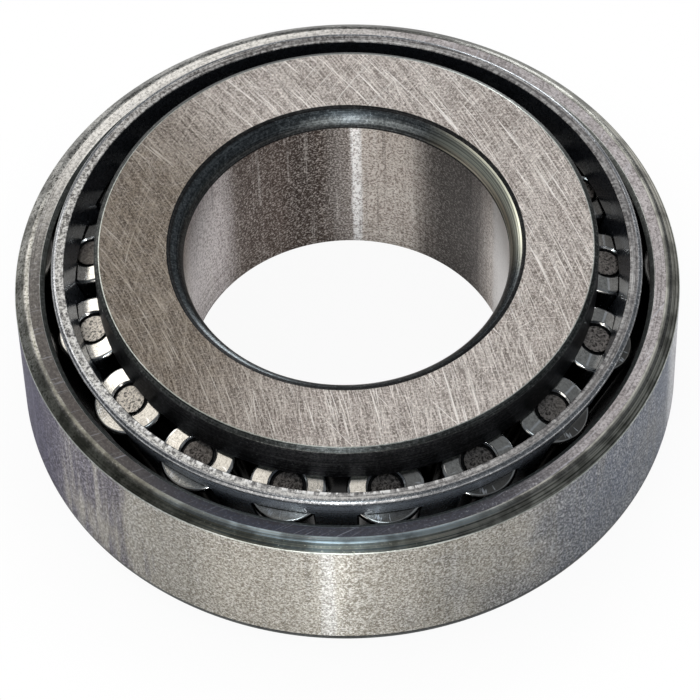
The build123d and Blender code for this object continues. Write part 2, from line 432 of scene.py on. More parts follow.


# The bore: ground as the seats are, with painted reflections along it: dark and pale bands, a bright
# line, and thin lines beside them.
def groundBore():
    f = Finish("groundBore", Metallic=1.0, Anisotropic=1.0, Anisotropic_Rotation=0.25)
    x, y, z = f.parts(f.spot)
    ring = f.noise(f.vector(x * 0.05, y * 0.05, z * 6.0), 1.0, 3.0, 0.6)
    upright = f.noise(f.vector(x * 1.1, y * 1.1, z * 0.03), 1.0, 3.0, 0.7)
    grain = f.noise(f.spot, 4.2, 3.0, 0.75)
    cloud = f.noise(f.spot, 0.2, 3.0, 0.6)
    drift = (upright - 0.5) * 0.12 + (cloud - 0.5) * 0.08

    def band(tone, name):
        azimuth, share, low, high, strength, colour = boreBands[name]
        return f.mix((f.towards(azimuth) + drift * share).step(low, high) * strength, tone, colour)

    tone = f.mix(cloud.step(0.35, 0.65), (0.7, 0.64, 0.6, 1), (0.84, 0.79, 0.74, 1))
    # painted reflections and a painted highlight line along the bore
    for name in ("brownOil", "darkOil", "beige", "paleLeft", "greyEdge", "brightLine"):
        tone = band(tone, name)
    tone = f.mix(upright.step(0.54, 0.66) * 0.45, tone, (0.12, 0.09, 0.075, 1))
    tone = f.mix(upright.step(0.43, 0.34) * 0.35, tone, (0.95, 0.92, 0.88, 1))
    lowerWall = z.step(9, 3)
    tone = f.mix(ring.step(0.52, 0.36) * lowerWall * 0.5, tone, (0.2, 0.16, 0.13, 1))
    tone = f.mix(grain.step(0.56, 0.4) * 0.95, tone, (0.36, 0.32, 0.3, 1), "MULTIPLY")
    tone = f.mix(grain.step(0.51, 0.64) * 0.42, tone, (0.8, 0.74, 0.69, 1))
    # painted dark reflection
    tone = band(tone, "blackOil")
    tone = f.mix(grain.step(0.5, 0.66) * 0.3, tone, (0.6, 0.55, 0.52, 1))
    # painted pale reflection at the right
    tone = band(tone, "paleRight")
    f.feed(Base_Color=tone, Roughness=0.26 + grain * 0.06, Normal=f.bump(ring + grain * 0.8, 0.3, 0.012))
    return f.material


# Turned and left dark from hardening, with fine rings; its near-black copy is painted shade in grooves.
# A painted gleam is an azimuth and the colour of the highlight painted there.
def turnedDark(name, tint, light, rough, rings=0.4, paintedGleam=None):
    f = Finish(name, Metallic=1.0, Anisotropic=0.5, Anisotropic_Rotation=0.25)
    x, y, z = f.parts(f.spot)
    out = fromAxis(x, y)
    ring = f.noise(f.vector(out * 7.0, z * 7.0, x * 0.05), 1.0, 2.0, 0.6)
    grain = f.noise(f.spot, 3.6, 3.0, 0.75)
    cloud = f.noise(f.spot, 0.2, 3.0, 0.6)
    tone = f.mix((ring * 0.45 + grain * 0.55).step(0.42, 0.62), tint, light)
    tone = f.mix(cloud.step(0.4, 0.7) * 0.5, tone, shaded(tint, 0.55))
    tone = f.mix(grain.step(0.6, 0.72) * 0.6, tone, shaded(light, 1.8))
    if paintedGleam:
        azimuth, shine = paintedGleam
        # painted highlight towards the gleam's azimuth
        paintedGleamMask = f.towards(azimuth).step(0.78, 0.98) * (ring.step(0.35, 0.6) * 0.6 + 0.35)
        tone = f.mix(paintedGleamMask, tone, shine)
    normal = f.bump(ring * rings + grain * 0.4, 0.35, 0.02)
    f.feed(Base_Color=tone, Roughness=rough + grain * 0.12, Normal=normal)
    return f.material


# Turned edge of the cup, with fine rings, olive-dark; painted reflections make it pale at the back left
# and the right and lighter olive at the front left, and paint a reflection at the front.
def cupChamfer(name, tint, light, paintedFrontReflection):
    f = Finish(name, Metallic=1.0, Anisotropic=0.5, Anisotropic_Rotation=0.25)
    x, y, z = f.parts(f.spot)
    out = fromAxis(x, y)
    ring = f.noise(f.vector(out * 8.0, z * 8.0, x * 0.05), 1.0, 2.0, 0.6)
    grain = f.noise(f.spot, 3.4, 3.0, 0.75)
    cloud = f.noise(f.spot, 0.3, 3.0, 0.6)
    tone = f.mix((ring * 0.5 + grain * 0.5).step(0.42, 0.62), tint, light)
    # painted reflections: pale at the back left and the right, lighter olive at the front left, the front
    # colour at the front
    paintedBackLeft = f.towards(-128).step(0.3, 0.85) * grain.step(0.38, 0.54)
    right = f.towards(72).step(0.15, 0.85) * ring.step(0.6, 0.46)
    paintedFrontLeft = f.towards(-52).step(0.4, 0.9) * ring.step(0.56, 0.46)
    paintedFront = f.towards(-6).step(0.8, 0.99) * (ring.step(0.3, 0.6) * 0.8 + 0.2)
    tone = f.mix(paintedBackLeft * 0.9, tone, (0.6, 0.585, 0.55, 1))
    tone = f.mix(right * 0.9, tone, (0.62, 0.6, 0.53, 1))
    tone = f.mix(paintedFrontLeft * 0.5, tone, (0.36, 0.35, 0.29, 1))
    tone = f.mix(paintedFront, tone, paintedFrontReflection)
    tone = f.mix(cloud.step(0.42, 0.62) * 0.6, tone, shaded(tint, 0.5))
    tone = f.mix(grain.step(0.6, 0.72) * 0.5, tone, shaded(light, 1.8))
    normal = f.bump(ring * 0.5 + grain * 0.4, 0.35, 0.02)
    f.feed(Base_Color=tone, Roughness=0.24 + grain * 0.12, Normal=normal)
    return f.material


# Cup face: turned, with fine rings, rosy grey; painted reflections make it dark blue at the front, dark
# brown at the left of it and cream at the back left.
def turnedCupFace():
    f = Finish("cupFace", Metallic=1.0, Anisotropic=0.4, Anisotropic_Rotation=0.25)
    x, y = f.parts(f.spot)[:2]
    ring = f.noise(f.vector(fromAxis(x, y) * 6.0, x * 0.06, y * 0.06), 1.0, 3.0, 0.6)
    grain = f.noise(f.spot, 3.8, 3.0, 0.75)
    cloud = f.noise(f.spot, 0.35, 3.0, 0.65)
    scratch = grindingArcs(f, (-50, 60), 6.0, 14.0, 0.6, 0.72)
    tone = f.mix(cloud.step(0.3, 0.7), (0.36, 0.325, 0.32, 1), (0.5, 0.46, 0.455, 1))
    # painted reflections: cream at the back left, dark brown at the front left, dark blue at the front
    paintedBackLeft, paintedFrontLeft = f.towards(-132).step(0.3, 0.9), f.towards(-58).step(0.3, 0.9)
    paintedFront = f.towards(-2).step(0.6, 0.96)
    tone = f.mix(paintedBackLeft * 0.9, tone, (0.92, 0.88, 0.81, 1))
    tone = f.mix(paintedFrontLeft * 0.9, tone, (0.075, 0.065, 0.056, 1))
    tone = f.mix(paintedFront * 0.92, tone, (0.04, 0.046, 0.066, 1))
    tone = f.mix(ring.step(0.54, 0.36) * 0.4, tone, (0.06, 0.055, 0.055, 1))
    tone = f.mix(grain.step(0.56, 0.36) * 0.58, tone, (0.05, 0.045, 0.045, 1))
    # pale specks thin out in the painted shade at the front left
    specksOutsidePaintedShade = f.towards(-35).step(0.85, 0.3) * 0.8 + 0.2
    tone = f.mix(grain.step(0.56, 0.7) * specksOutsidePaintedShade * 0.5, tone, (0.72, 0.7, 0.7, 1))
    tone = f.mix(scratch.capped() * 0.24, tone, (0.6, 0.62, 0.7, 1))
    normal = f.bump(ring * 0.8 + grain * 0.4, 0.3, 0.02)
    f.feed(Base_Color=tone, Roughness=0.26 + grain * 0.12, Normal=normal)
    return f.material


# Honed and nearly smooth: the raceways and the rollers' sides.
def honed(name, tint, rough):
    f = Finish(name, Metallic=1.0)
    grain = f.noise(f.spot, 2.6, 2.0, 0.6)
    cloud = f.noise(f.spot, 0.2, 2.0, 0.5)
    tone = f.mix(cloud.step(0.3, 0.7), tint, shaded(tint, 0.72))
    tone = f.mix(grain.step(0.58, 0.36) * 0.3, tone, shaded(tint, 0.4))
    f.feed(Base_Color=tone, Roughness=rough + grain * 0.06, Normal=f.bump(grain, 0.15, 0.01))
    return f.material


# Sheared rim: grainy grey, with short radial tears from the press at the inner edge; painted shade
# darkens it at the back, and painted glints lighten its grain at the left and its tears at the front left.
def shearedRim():
    f = Finish("shearedRim", Metallic=1.0)
    x, y = f.parts(f.spot)[:2]
    out = fromAxis(x, y)
    around = f.node("ShaderNodeVectorMath", {"operation": "NORMALIZE"}, {0: f.vector(x, y, 0.0)})
    ax, ay = f.parts(around)[:2]
    tear = f.noise(f.vector(ax * 60, ay * 60, out * 0.5), 1.0, 2.0, 0.6)
    grain = f.noise(f.spot, 3.2, 4.0, 0.8)
    line = f.noise(f.vector(out * 4.0, ax * 2, ay * 2), 1.0, 2.0, 0.6)
    inner = out.step(29.55, 29.05)       # the rim's inner edge
    tone = f.mix(grain.step(0.36, 0.64), (0.17, 0.165, 0.165, 1), (0.62, 0.6, 0.58, 1))
    # painted shade at the back right, painted glints on the grain at the left
    paintedBackRight, paintedLeftLight = f.towards(110).step(-0.3, 0.6), f.towards(-72).step(0.2, 0.9)
    tone = f.mix(paintedBackRight * 0.6, tone, (0.4, 0.39, 0.4, 1), "MULTIPLY")
    tone = f.mix(line.step(0.52, 0.38) * 0.65, tone, (0.07, 0.065, 0.065, 1))
    tone = f.mix(line.step(0.56, 0.66) * 0.5, tone, (0.7, 0.68, 0.65, 1))
    tone = f.mix(paintedLeftLight * grain.step(0.42, 0.57) * 0.62, tone, (0.97, 0.95, 0.9, 1))
    # painted shade at the back left
    paintedBackLeft = f.towards(-140).step(0.1, 0.85) * (grain.step(0.58, 0.4) * 0.8 + 0.2)
    tone = f.mix(paintedBackLeft, tone, (0.55, 0.53, 0.51, 1), "MULTIPLY")
    # the press's tears, with painted glints, most at the front left
    tearsWithPaintedGlints = inner * (f.towards(-25).step(0.6, 0.95) * 0.75 + 0.2)      # most at the front left
    tone = f.mix(tear.step(0.5, 0.58) * tearsWithPaintedGlints, tone, (0.97, 0.96, 0.94, 1))
    tone = f.mix(tear.step(0.5, 0.42) * tearsWithPaintedGlints * 0.7, tone, (0.06, 0.06, 0.065, 1))
    f.feed(Base_Color=tone, Roughness=0.34 + grain * 0.18,
           Normal=f.bump(tear * inner * 0.5 + grain * 0.6, 0.3, 0.03))
    return f.material


# Pressed sheet wall: dark blue-grey, glossy, with faint draw lines; a painted reflection makes it bluer
# and brighter at the front, and painted shade makes it nearly black away from it.
def pressedWall():
    f = Finish("pressedWall", Metallic=0.6)
    x, y, z = f.parts(f.spot)
    line = f.noise(f.vector(x * 0.1, y * 0.1, z * 3.0), 1.0, 2.0, 0.6)
    grain = f.noise(f.spot, 2.6, 3.0, 0.7)
    tone = f.mix(grain.step(0.3, 0.72), (0.05, 0.056, 0.07, 1), (0.2, 0.22, 0.255, 1))
    paintedFront = f.towards(-4)
    # painted shade nearly black away from the front, painted reflection bluer and brighter at the front
    tone = f.mix(paintedFront.step(0.5, -0.3) * 0.85, tone, (0.012, 0.013, 0.016, 1))
    tone = f.mix(paintedFront.step(0.7, 0.97) * line.step(0.3, 0.6) * 0.6, tone, (0.42, 0.48, 0.58, 1))
    f.feed(Base_Color=tone, Roughness=0.2 + grain * 0.16, Normal=f.bump(line + grain * 0.6, 0.25, 0.03))
    return f.material


# Roller end: ground to a crown, with fine rings, painted radial highlights and glints, and painted shade
# across each end, on the rollers at the right and beyond the cage there. "place" is in the roller's own
# axes: x away from the bearing's axis, y round it.
def rollerEnd():
    f = Finish("rollerEnd", Metallic=1.0)
    place = f.attribute("place")
    x, y = f.parts(place)[:2]
    out = fromAxis(x, y)
    angle = y.math("ARCTAN2", x)
    ring = f.noise(f.vector(out * 9.0, x * 0.3, y * 0.3), 1.0, 2.0, 0.6)
    paintedRadialHighlight = f.noise(f.vector(angle * 7.0, out * 0.5, 3.0), 1.0, 1.0, 0.5)
    grain = f.noise(place, 3.4, 3.0, 0.75)
    cloud = f.noise(f.spot, 0.12, 2.0, 0.5)
    tone = f.mix(ring.step(0.3, 0.7), (0.68, 0.65, 0.59, 1), (0.92, 0.89, 0.83, 1))
    # painted shade: darker on the rollers at the right, and towards one side of each end
    tone = f.mix(f.towards(60).step(-0.2, 0.8) * 0.45, tone, (0.5, 0.49, 0.47, 1))
    tone = f.mix((y * 0.35).step(-0.2, 1.2) * 0.25, tone, (0.4, 0.38, 0.35, 1))
    tone = f.mix(grain.step(0.56, 0.34) * 0.55, tone, (0.26, 0.24, 0.22, 1))
    tone = f.mix(cloud.step(0.35, 0.7) * 0.3, tone, (0.42, 0.41, 0.38, 1))
    # painted shade on the ends beyond the cage at the right
    paintedShadeBeyondCage = x.step(2.4, 2.8) * f.towards(52).step(0.35, 0.85)
    tone = f.mix(paintedShadeBeyondCage * 0.82, tone, (0.13, 0.12, 0.11, 1))
    # painted glints: a line across each end at the right, and radial highlights on all
    glint = x.math("ABSOLUTE").step(0.2, 0.02) * f.towards(92).step(0.3, 0.7)
    tone = f.mix(glint.math("MAXIMUM", paintedRadialHighlight.step(0.66, 0.7)) * 0.85, tone, (1, 1, 1, 1))
    f.feed(Base_Color=tone, Roughness=0.1 + grain * 0.12, Normal=f.bump(ring + grain * 0.5, 0.16, 0.02))
    return f.material


# Forged recess floor: unground, stippled and oily; painted reflections make it lighter at the left and
# the right.
def recessFloor():
    f = Finish("recessFloor", Metallic=1.0)
    place = f.attribute("place")
    grain = f.noise(place, 3.6, 3.0, 0.75)
    cloud = f.noise(f.spot, 0.16, 2.0, 0.5)
    x, y = f.parts(place)[:2]
    mark = f.noise(f.vector(fromAxis(x, y) * 5.0, x * 0.4, y * 0.4), 1.0, 2.0, 0.6)
    tone = f.mix((grain * 0.8 + mark * 0.2).step(0.4, 0.62), (0.03, 0.027, 0.026, 1), (0.26, 0.235, 0.22, 1))
    # painted reflections: lighter at the left and the right
    paintedLeftLight = f.towards(-66).step(0.88, 0.97) * grain.step(0.34, 0.58)
    right = f.towards(75).step(0.2, 0.9) * grain.step(0.36, 0.6)
    tone = f.mix(paintedLeftLight * 0.9, tone, (0.84, 0.78, 0.7, 1))
    tone = f.mix(right * 0.45, tone, (0.52, 0.475, 0.44, 1))
    tone = f.mix(cloud.step(0.5, 0.72) * 0.4, tone, (0.4, 0.36, 0.32, 1))
    f.feed(Base_Color=tone, Roughness=0.36 + grain * 0.2, Normal=f.bump(grain, 0.4, 0.04))
    return f.material


materials = dict(
    face=groundFace(),
    seat=groundSeat("groundSeat", (0.68, 0.64, 0.56, 1), (0.12, 0.11, 0.1, 1), 0.29, 0.9),
    bore=groundBore(),
    # the corner's gleam is a painted highlight at the right
    corner=turnedDark("turnedCorner", (0.05, 0.056, 0.06, 1), (0.18, 0.197, 0.205, 1), 0.24,
                      paintedGleam=(112, (0.8, 0.8, 0.66, 1))),
    # each one's last colour is a painted reflection at the front: dark on the chamfer, pale blue on the
    # shoulder
    chamfer=cupChamfer("oliveChamfer", (0.045, 0.044, 0.034, 1), (0.19, 0.188, 0.155, 1),
                       (0.05, 0.065, 0.07, 1)),
    shoulder=cupChamfer("cupShoulder", (0.088, 0.084, 0.075, 1), (0.3, 0.292, 0.27, 1),
                        (0.42, 0.52, 0.58, 1)),
    edge=turnedDark("brightEdge", (0.4, 0.42, 0.38, 1), (0.8, 0.82, 0.78, 1), 0.26),
    bevel=turnedDark("darkBevel", (0.046, 0.048, 0.046, 1), (0.175, 0.18, 0.173, 1), 0.26),
    ribWall=turnedDark("ribWall", (0.04, 0.04, 0.043, 1), (0.17, 0.17, 0.175, 1), 0.3),
    cupFace=turnedCupFace(),
    # the raceways' dark tint is painted shade in the gaps between rings, rollers and cage
    raceway=honed("honedRaceway", (0.12, 0.115, 0.11, 1), 0.12),
    wall=pressedWall(),
    rim=shearedRim(),
    rimEdge=turnedDark("rimEdge", (0.22, 0.225, 0.235, 1), (0.58, 0.585, 0.6, 1), 0.2, 0.2),
    end=rollerEnd(),
    recess=recessFloor(),
    # near black: painted shade in the rollers' recess grooves and scribed rings and at both ends of the
    # cone's bore corner
    groove=turnedDark("blackGroove", (0.015, 0.015, 0.016, 1), (0.05, 0.05, 0.05, 1), 0.45),
    rolling=honed("honedRoller", (0.72, 0.71, 0.69, 1), 0.09),
    back=groundSeat("groundBack", (0.5, 0.47, 0.44, 1), (0.2, 0.18, 0.17, 1), 0.34, 0.4),
)
print("finishes written:", len(materials))

# The cup's corners; the roundings named Edge only take the sharpness off.
cup = dict(
    backRadius=1.8, chamferWidth=1.1, chamferHeight=0.93, shoulderRounding=1.0, mouthChamfer=0.36,
    backBevel=0.4, seatEdge=0.2, lipEdge=0.06, bevelEdge=0.08, steps=360,
)


# Radius of the cup's raceway at a height: the height above the apex times the tangent of its angle.
def cupRaceway(height):
    return (height - cones["apex"]) * cones["cupSlope"]


# The cup's outline: up the seat, over the chamfer and the front face, and down the raceway.
def makeCup():
    c, outer, high = cup, bearing["outerRadius"], bearing["cupHeight"]
    mouth, back = c["mouthChamfer"], c["backBevel"]
    outline, finishes = roundedOutline([
        (outer, 0, c["backRadius"], "seat", "bevel"),
        (outer, high - c["chamferHeight"], c["seatEdge"], "chamfer", "edge"),
        (outer - c["chamferWidth"], high, c["shoulderRounding"], "cupFace", "shoulder"),
        (cupRaceway(high) + mouth, high, c["lipEdge"], "edge"),
        (cupRaceway(high - mouth), high - mouth, c["bevelEdge"], "raceway"),
        (cupRaceway(back), back, c["bevelEdge"], "edge"),
        (cupRaceway(0) + back, 0, c["bevelEdge"], "back"),
    ])
    piece = turnedRing("cupRing", outline, finishes, c["steps"], materials)
    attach(piece, "cup")
    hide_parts("cup")


makeCup()
print("cup turned")

# The cone's ribs, corners and grinding reliefs; the roundings named Edge only take the sharpness off.
cone = dict(
    ribHeight=2.85, bevelWidth=0.5, bevelHeight=0.33, toeChamfer=0.35, smallRibHeight=1.0,
    smallRibChamfer=0.3, boreCornerWidth=1.65, boreCornerHeight=1.8, boreCornerRadius=2.1,
    # the bore corner's first and last steps are painted near black as shade
    boreCornerSteps=12, boreCornerDark=(0, 10),     # steps at which the corner is black: up to, from
    frontChamfer=1.3, reliefWidth=0.8, reliefDepth=0.3, reliefRounding=0.2, backBevelRounding=0.2,
    faceEdge=0.03, cornerEdge=0.05, ribEdge=0.06, frontEdge=0.08, racewayEdge=0.1, steps=360,
)


# The cone's outline: down the bore, round its front corner, and up over the small rib, the raceway and
# the thrust rib, to the rounded corner of the bore. The ribs' inner faces stand square to the rollers' axes.
def makeCone():
    c, bore, top, slope = cone, bearing["boreRadius"], bearing["topHeight"], math.tan(cones["tilt"])
    foot = np.array([cones["footRadius"], cones["footHeight"]])
    corner = np.array([cones["cornerRadius"], cones["cornerHeight"]])
    upRaceway = (corner - foot) / np.hypot(*(corner - foot))
    across = np.array([1, -slope]) / math.hypot(1, slope)
    rib = cones["cornerRadius"] + c["ribHeight"]
    toe = cones["cornerHeight"] - (c["ribHeight"] - c["toeChamfer"]) * slope
    small = cones["footRadius"] + c["smallRibHeight"]
    boreEdge, backEdge = (bore, top - c["boreCornerHeight"]), (bore + c["boreCornerWidth"], top)
    darkTo, darkFrom = c["boreCornerDark"]
    arc = arcBetween(backEdge, boreEdge, c["boreCornerRadius"], c["boreCornerSteps"])
    # the corner's ends take the near-black finish: painted shade
    curve = [(*p, 0, "groove" if k <= darkTo or k >= darkFrom else "corner") for k, p in enumerate(arc)]
    outline, finishes = roundedOutline([
        (*boreEdge, c["cornerEdge"], "bore"),
        (bore, c["frontChamfer"], c["frontEdge"], "edge"),
        (bore + c["frontChamfer"], 0, c["frontEdge"], "face"),
        (small - c["smallRibChamfer"], 0, c["ribEdge"], "edge"),
        (small, c["smallRibChamfer"], c["ribEdge"], "ribWall"),
        (small, cones["footHeight"] - c["smallRibHeight"] * slope, c["ribEdge"], "ribWall"),
        (*(foot + across * c["reliefWidth"] / 2), c["cornerEdge"], "ribWall"),
        (*(foot - (across + upRaceway) * c["reliefDepth"] / 2), c["reliefRounding"], "ribWall"),
        (*(foot + upRaceway * c["reliefWidth"]), c["racewayEdge"], "raceway"),
        (*(corner - upRaceway * c["reliefWidth"]), c["racewayEdge"], "ribWall"),
        (*(corner + (upRaceway - across) * c["reliefDepth"] / 2), c["reliefRounding"], "ribWall"),
        (*(corner + across * c["reliefWidth"] / 2), c["cornerEdge"], "raceway"),
        (rib - c["toeChamfer"], toe, c["cornerEdge"], "edge"),
        (rib, toe + c["toeChamfer"], c["ribEdge"], "ribWall"),
        (rib, top - c["bevelHeight"], c["racewayEdge"], "bevel"),
        (rib - c["bevelWidth"], top, c["backBevelRounding"], "face", "edge"),
        (*backEdge, c["faceEdge"], "groove"),
        *curve,
    ])
    piece = turnedRing("coneRing", outline, finishes, c["steps"], materials)
    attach(piece, "cone")
    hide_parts("cone")


makeCone()
print("cone turned")

# The cage; rise is its middle's share of the rollers' radius above their axes, rim how far it stands
# out past their large ends.
cage = dict(
    thickness=1.4, bendRadius=1.6, rise=0.485, rim=3.58, flangeGap=0.9, flangeLap=0.4,
    rimRounding=0.45, rimEdge=0.12, flangeEdge=0.1, flangeBend=0.3, runSupport=0.04,
    sideGap=0.15, endGap=0.2, pocketColumns=10, barColumns=7, pocketRows=8, pocketPasses=8,
    bevel=0.07, bevelSegments=2, bevelAngle=45,
)


# The cage's section: from the rim down the outside, round the flange and up the inside. The first and
# the last of the pockets' rows, outside and then inside, are found again by their places.
def cageSection():
    g, large, small = cage, cones["largeEnd"], cones["smallEnd"]
    lean = g["rise"] * rollerRadius(large) / large
    half = g["thickness"] / 2
    angle = cones["tilt"] + math.atan(lean)
    top = cones["apex"] + (large + g["rim"]) * math.cos(angle)
    flangeRadius = cones["footRadius"] + cone["smallRibHeight"] + g["flangeGap"]
    flangeTop = small - g["flangeLap"]
    flangeBottom = flangeTop - g["thickness"]

    def wallRadius(height, side):
        return (height - cones["apex"]) * math.tan(angle) + side * half / math.cos(angle)

    def flangeHeight(distance):
        radius, height = sectionPoint(distance, 0)
        return height + (radius - flangeRadius) * math.tan(cones["tilt"])

    rows = np.linspace(large + g["endGap"], small - g["endGap"], g["pocketRows"] + 1)
    outer = [sectionPoint(s, s * lean + half) for s in rows]
    inner = [sectionPoint(s, s * lean - half) for s in rows[::-1]]
    outline, finishes = roundedOutline([
        (wallRadius(top, 1), top, g["rimRounding"], "wall", "rimEdge"),
        *[(*p, 0, "wall") for p in outer],
        (*sectionPoint(flangeBottom, flangeBottom * lean + half), g["bendRadius"], "wall"),
        (flangeRadius, flangeHeight(flangeBottom), g["flangeEdge"], "wall"),
        (flangeRadius, flangeHeight(flangeTop), g["flangeEdge"], "wall"),
        (*sectionPoint(flangeTop, flangeTop * lean - half), g["flangeBend"], "wall"),
        *[(*p, 0, "wall") for p in inner],
        (wallRadius(top, -1), top, g["rimEdge"], "rim"),
    ], support=g["runSupport"])
    found = [int(np.abs(outline - p).sum(1).argmin()) for p in (outer[0], outer[-1], inner[0], inner[-1])]
    return outline, finishes, rows, lean, half, found


# Half a pocket's angle at every point of the section: where the roller's own cone, a gap larger, meets
# the wall. The wall's distance from the roller's axis and that angle depend on each other, so a few
# passes find both. Beyond the pocket's rows the nearest row's value goes on.
def pocketAngles(outline, rows, lean, half, lastOut, firstIn):
    r, z = outline[:, 0], outline[:, 1]
    sine, cosine = math.sin(cones["tilt"]), math.cos(cones["tilt"])
    s = np.clip(r * sine + (z - cones["apex"]) * cosine, rows[-1], rows[0])
    offset = np.where(np.arange(len(r)) <= (lastOut + firstIn) / 2, s * lean + half, s * lean - half)
    radius = s * math.tan(cones["taper"]) - cones["gapOffset"] + cage["sideGap"]
    ring = s * sine + offset * cosine
    phi = np.zeros(len(r))
    for again in range(cage["pocketPasses"]):
        drop = offset - ring * (1 - np.cos(phi)) * cosine
        phi = np.arcsin(np.sqrt(np.clip(radius**2 - drop**2, 0, None)) / ring)
    return phi


# The cage: its section turned about Z, so a point is (r cos t, r sin t, z), with columns that follow
# the pockets' sides. The faces inside a pocket are left out of the outer and inner wall, and quads
# through the sheet join the two openings.
def makeCage():
    g, count = cage, bearing["rollerCount"]
    outline, finishes, rows, lean, half, (firstOut, lastOut, firstIn, lastIn) = cageSection()
    phi = pocketAngles(outline, rows, lean, half, lastOut, firstIn)
    r, z = outline[:, 0], outline[:, 1]
    n, p, b = len(outline), g["pocketColumns"], g["barColumns"]
    pitch = 2 * math.pi / count
    u, v = np.arange(p) / p * 2 - 1, np.arange(b) / b
    one = np.concatenate([phi[:, None] * u, phi[:, None] + (pitch - 2 * phi[:, None]) * v], 1)
    t = (one[:, None, :] + np.arange(count)[None, :, None] * pitch).reshape(n, -1)
    steps = t.shape[1]
    points = np.stack([r[:, None] * np.cos(t), r[:, None] * np.sin(t), np.repeat(z[:, None], steps, 1)], 2)
    i, j = np.meshgrid(np.arange(n), np.arange(steps), indexing="ij")
    k, m = (i + 1) % n, (j + 1) % steps
    quads = np.stack([i * steps + j, i * steps + m, k * steps + m, k * steps + j], 2)
    inPocket = (j % (p + b)) < p
    cutRows = ((i >= firstOut) & (i < lastOut)) | ((i >= firstIn) & (i < lastIn))
    kept = ~(inPocket & cutRows)
    quadFinish = np.repeat(np.array(finishes)[:, None], steps, 1)[kept]
    # through the sheet: rows of the outer opening pair with the inner ones in reverse
    outRows, inRows = np.arange(firstOut, lastOut + 1), np.arange(lastIn, firstIn - 1, -1)
    starts = np.arange(count) * (p + b)
    sides = []
    for column, flip in ((starts, 1), (starts + p, -1)):
        a = outRows[:-1, None] * steps + column
        c = outRows[1:, None] * steps + column
        d = inRows[1:, None] * steps + column
        e = inRows[:-1, None] * steps + column
        sides.append(np.stack([a, c, d, e][::flip], 2).reshape(-1, 4))
    columns = (starts[:, None] + np.arange(p)).ravel()
    after = (columns + 1) % steps
    for row, into, flip in ((firstOut, lastIn, -1), (lastOut, firstIn, 1)):
        sides.append(np.stack([row * steps + columns, row * steps + after,
                               into * steps + after, into * steps + columns][::flip], 1))
    sides = np.concatenate(sides)
    quads = np.concatenate([quads[kept], sides])
    finishes = list(quadFinish) + ["wall"] * len(sides)
    # points inside the pockets are used by no face
    points = points.reshape(-1, 3)
    used = np.unique(quads)
    renumber = np.zeros(len(points), int)
    renumber[used] = np.arange(len(used))
    piece = meshFrom("pressedCage", points[used], renumber[quads], None, finishes, materials)
    soften = piece.modifiers.new("edges", "BEVEL")
    soften.width, soften.segments = g["bevel"] * millimetre, g["bevelSegments"]
    soften.limit_method, soften.angle_limit = "ANGLE", math.radians(g["bevelAngle"])
    soften.harden_normals = True
    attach(piece, "cage")
    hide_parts("cage")


makeCage()
print("cage pressed")

# The rollers' corner, crown, recess and the groove round its floor; the roundings named Edge only take
# the sharpness off.
roller = dict(
    corner=0.4, crownShare=0.5, recessRadius=1.84, recessDepth=0.22, recessDraft=0.08,
    grooveWidth=0.24, grooveDepth=0.25, lip=0.15, scribe=0.07, scribeEdge=0.02, lipEdge=0.03,
    grooveEdge=0.04, footEdge=0.06, floorEdge=0.07, footRounding=0.1, steps=96,
)


